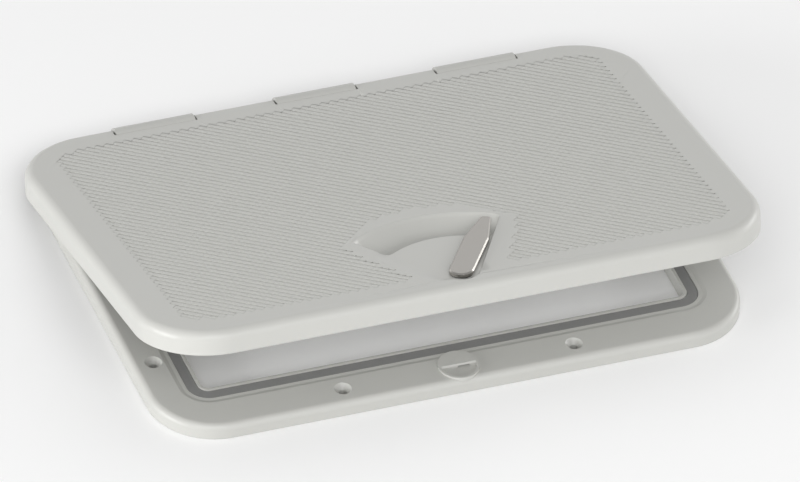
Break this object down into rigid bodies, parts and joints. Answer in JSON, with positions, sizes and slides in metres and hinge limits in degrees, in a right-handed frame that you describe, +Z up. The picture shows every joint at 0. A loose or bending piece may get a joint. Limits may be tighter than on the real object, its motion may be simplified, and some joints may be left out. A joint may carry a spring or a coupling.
{
  "type": "deck hatch",
  "caption": "Rectangular boat deck access hatch: rounded non-skid lid, propped part open on rear hinge knuckles, turning handle in a finger pocket, sealed deck frame.",
  "frame": {"origin": "middle of the frame, on the deck plane that its underside rests on", "axes": "+Z up from the deck, +Y towards the hinges, +X to the right seen from the handle"},
  "size_m": [0.44, 0.3112, 0.0925],
  "materials": {
    "frame_plastic": "glossy moulded plastic",
    "lid_plastic": "glossy moulded plastic with a diamond non-skid field",
    "liner_plastic": "matt moulded plastic",
    "hinge_plastic": "glossy moulded plastic",
    "seal_rubber": "soft matt rubber",
    "black_plastic": "matt black plastic",
    "handle_steel": "brushed",
    "fitting_steel": "plain stainless"
  },
  "bodies": {
    "frame": {"frame": "frame_plastic", "gasket": "seal_rubber", "hinge_block_left": "hinge_plastic", "hinge_block_centre": "hinge_plastic", "hinge_block_right": "hinge_plastic", "hinge_block_screws": "fitting_steel", "hinge_bushes": "black_plastic", "latch_keeper": "frame_plastic", "keeper_screws": "fitting_steel"},
    "lid": {"lid_shell": "lid_plastic", "lid_liner": "liner_plastic", "liner_screws": "fitting_steel", "hinge_pin": "fitting_steel", "pin_plugs": "lid_plastic", "handle_bushing": "black_plastic", "bushing_nut": "black_plastic", "wave_washer": "fitting_steel"},
    "handle": {"handle_lever": "handle_steel", "handle_spindle": "handle_steel", "spindle_seal": "seal_rubber", "retaining_washer": "fitting_steel", "latch_cam": "fitting_steel", "cam_screw": "fitting_steel"}
  },
  "joints": [
    {"name": "lid_hinge", "type": "hinge", "parent": "frame", "child": "lid", "pos_m": [0, 0.1515, 0.0145], "axis": [-1, 0, 0], "range_deg": [-13.6, 86.4]},
    {"name": "handle_turn", "type": "hinge", "parent": "lid", "child": "handle", "pos_m": [0, -0.12713, 0.08757], "axis": [0, 0.2351, 0.972], "range_deg": [0, 64.6]}
  ]
}
